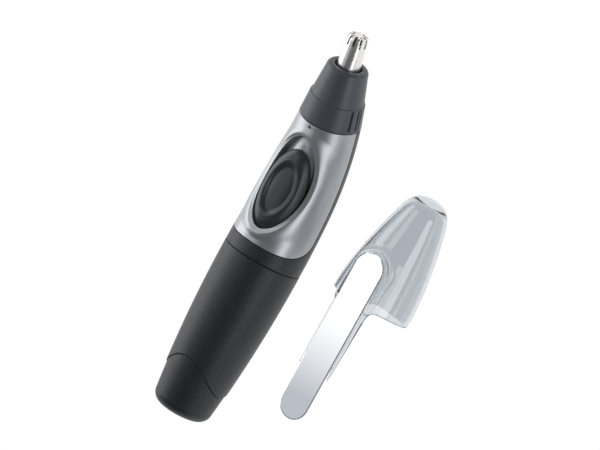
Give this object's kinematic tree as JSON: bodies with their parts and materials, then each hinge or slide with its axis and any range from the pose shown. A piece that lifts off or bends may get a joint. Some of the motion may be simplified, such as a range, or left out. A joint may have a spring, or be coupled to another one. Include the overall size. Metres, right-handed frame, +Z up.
{
  "type": "nose hair trimmer",
  "caption": "Battery nose hair trimmer with a bent barrel handle, slide switch, twist-off rotary cutter head and battery cover, and a clear hood cap with a long mirror clip.",
  "frame": {"origin": "on the surface that the pair lies on, under the middle of the trimmer and its cap", "axes": "+Y along the straight lower handle towards the cutter head, +Z up on the switch side, +X across towards the cap"},
  "size_m": [0.077, 0.154, 0.0353],
  "materials": {
    "silver_paint": "satin silver paint over plastic",
    "dark_shell": "fine grain",
    "tail_shell": "fine grain",
    "slate_plastic": "smooth satin",
    "button_rubber": "soft matte",
    "seal_rubber": "smooth",
    "blade_steel": "ground and polished",
    "steel": "drawn",
    "spring_steel": "nickel plated",
    "motor_metal": "zinc plated",
    "magnet": "sintered",
    "copper": "enamelled windings",
    "contact_brass": "stamped",
    "natural_plastic": "as moulded",
    "socket_plastic": "as moulded",
    "cell_jacket": "shrink film",
    "clear_hood": "clear polished",
    "mirror_plate": "polished"
  },
  "bodies": {
    "handle": {"front_cover": "silver_paint", "rear_housing": "dark_shell", "cell_holder": "natural_plastic", "motor_cradle": "natural_plastic", "head_socket": "socket_plastic", "shaft_seal": "seal_rubber", "motor_can": "motor_metal", "motor_magnets": "magnet", "motor_end_cap": "natural_plastic", "motor_terminals": "contact_brass", "battery": "cell_jacket", "positive_contact": "spring_steel", "housing_contact": "spring_steel", "switch_contacts": "contact_brass", "detent_spring": "spring_steel", "cradle_screws": "steel"},
    "switch": {"switch_button": "button_rubber", "switch_slider": "natural_plastic", "bridging_contact": "contact_brass"},
    "rotor": {"armature": "copper", "motor_shaft": "steel", "drive_coupling": "natural_plastic"},
    "head_ring": {"head_seal": "seal_rubber"},
    "blade_head": {"blade_collar": "slate_plastic", "blade_retainer": "steel", "outer_blade": "blade_steel"},
    "cutter": {"cutter_driver": "natural_plastic", "cutter_shaft": "steel", "cutter_spring": "steel", "inner_blade": "blade_steel"},
    "cover_ring": {"cover_seal": "seal_rubber"},
    "cover": {"battery_cover": "dark_shell", "tail_cap": "tail_shell", "negative_spring": "spring_steel", "cover_contact": "spring_steel"},
    "cap": {"cap_hood": "clear_hood", "cap_mirror": "mirror_plate"}
  },
  "joints": [
    {"name": "switch_slide", "type": "slide", "parent": "handle", "child": "switch", "axis": [0, 1, 0], "range_m": [0, 0.0042]},
    {"name": "motor_spin", "type": "hinge", "parent": "handle", "child": "rotor", "pos_m": [-0.0235, 0.04387, 0.021], "axis": [0, 0.9455, 0.3256], "continuous": true},
    {"name": "head_twist", "type": "hinge", "parent": "handle", "child": "head_ring", "pos_m": [-0.0235, 0.04387, 0.021], "axis": [0, 0.9455, 0.3256], "range_deg": [0, 20]},
    {"name": "head_pull", "type": "slide", "parent": "head_ring", "child": "blade_head", "axis": [0, 0.9455, 0.3256], "range_m": [0, 0.02]},
    {"name": "cutter_spin", "type": "hinge", "parent": "blade_head", "child": "cutter", "pos_m": [-0.0235, 0.04387, 0.021], "axis": [0, 0.9455, 0.3256], "continuous": true},
    {"name": "cover_twist", "type": "hinge", "parent": "handle", "child": "cover_ring", "pos_m": [-0.0235, -0.01696, 0.015], "axis": [0, 1, 0], "range_deg": [0, 30]},
    {"name": "cover_pull", "type": "slide", "parent": "cover_ring", "child": "cover", "axis": [0, -1, 0], "range_m": [0, 0.06]},
    {"name": "cap_carry", "type": "slide", "parent": "handle", "child": "cap", "axis": [-0.294, 0.9509, 0.097], "range_m": [0, 0.15985]}
  ],
  "couplings": [
    {"joint": "cutter_spin", "follows": "motor_spin", "ratio": 1}
  ]
}
